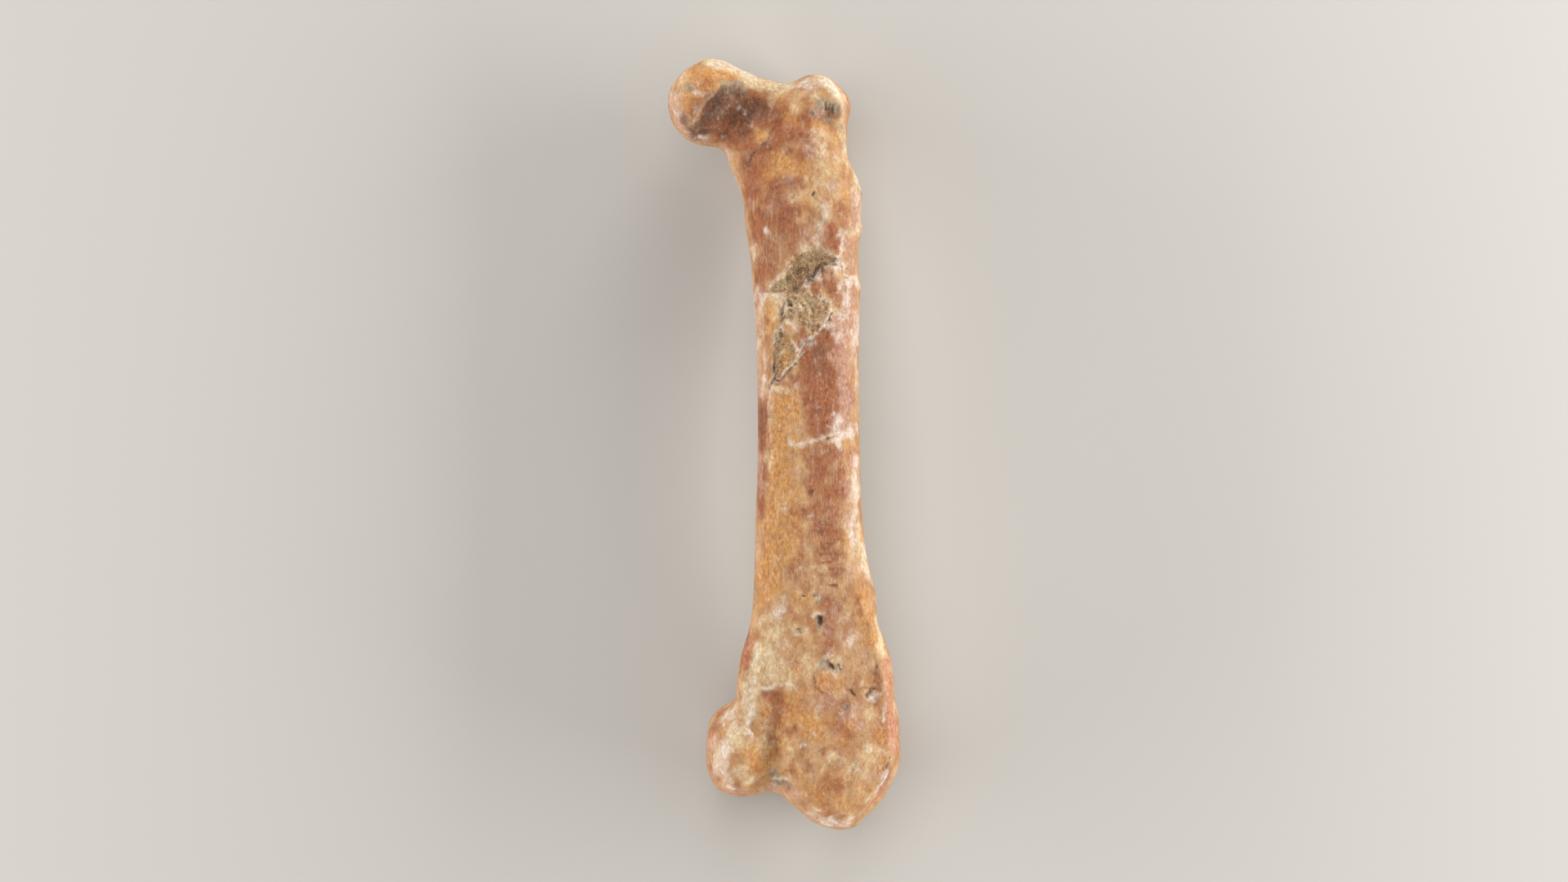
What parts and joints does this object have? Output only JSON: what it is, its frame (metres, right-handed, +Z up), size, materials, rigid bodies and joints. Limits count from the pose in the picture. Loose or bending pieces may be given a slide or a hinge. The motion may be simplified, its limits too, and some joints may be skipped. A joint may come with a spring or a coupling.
{
  "type": "fossil bird femur",
  "caption": "Fossil thigh bone of a giant seabird, lying on its back face, with hip ball, trochanter, knee knuckles and a filled break in the shaft.",
  "frame": {"origin": "on the surface it lies on, below the middle of the bone's box", "axes": "+Y along the bone towards the hip end, +Z up out of its front face, +X towards its outer side, away from the hip ball"},
  "size_m": [0.0512, 0.17, 0.0302],
  "materials": {
    "bone": "satin"
  },
  "bodies": {
    "root": {"femur": "bone"}
  },
  "joints": []
}
